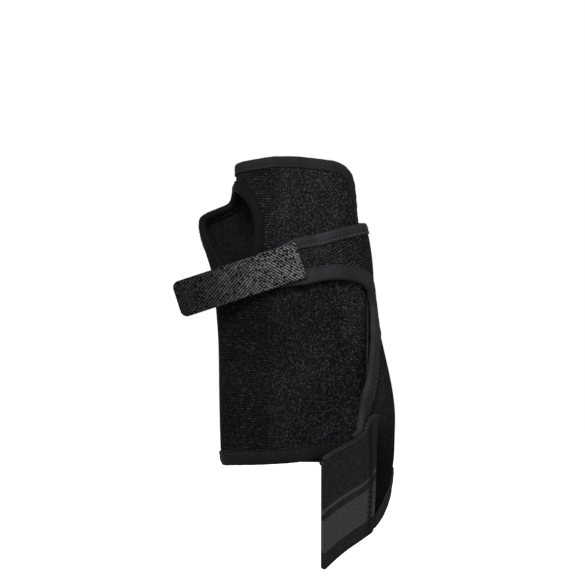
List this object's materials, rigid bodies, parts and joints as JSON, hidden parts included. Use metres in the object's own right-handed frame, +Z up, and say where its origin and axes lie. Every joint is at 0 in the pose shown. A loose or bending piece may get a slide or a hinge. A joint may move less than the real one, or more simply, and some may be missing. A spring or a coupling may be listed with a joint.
{
  "type": "wrist wrap",
  "caption": "Padded wrist wrap for the left hand with a thumb hole and a forked elastic strap, its narrow limb closed over the palm and its wide limb hanging open.",
  "frame": {"origin": "the wrist seat: the middle of the hollow at the wrist, 82 mm above the padded panel's lower edge", "axes": "+Z up the hand to the fingers, -Y out of the palm side, -X to the thumb side"},
  "size_m": [0.1327, 0.1105, 0.243],
  "materials": {
    "loop_cloth": "black foam-backed loop cloth",
    "edge_tape": "smooth black folded tape",
    "elastic": "black ribbed elastic mesh",
    "pull_webbing": "dark grey crosshatched webbing",
    "tab_cloth": "black woven tab with grey stripes"
  },
  "bodies": {
    "root": {"padded_panel": "loop_cloth", "padded_panel_tape": "edge_tape", "thumb_hole_tape": "edge_tape", "forked_strap": "elastic", "upper_edge_tape": "edge_tape", "crotch_tape": "edge_tape", "lower_edge_tape": "edge_tape", "narrow_hook_tab": "pull_webbing", "wide_hook_tab": "tab_cloth"}
  },
  "joints": []
}
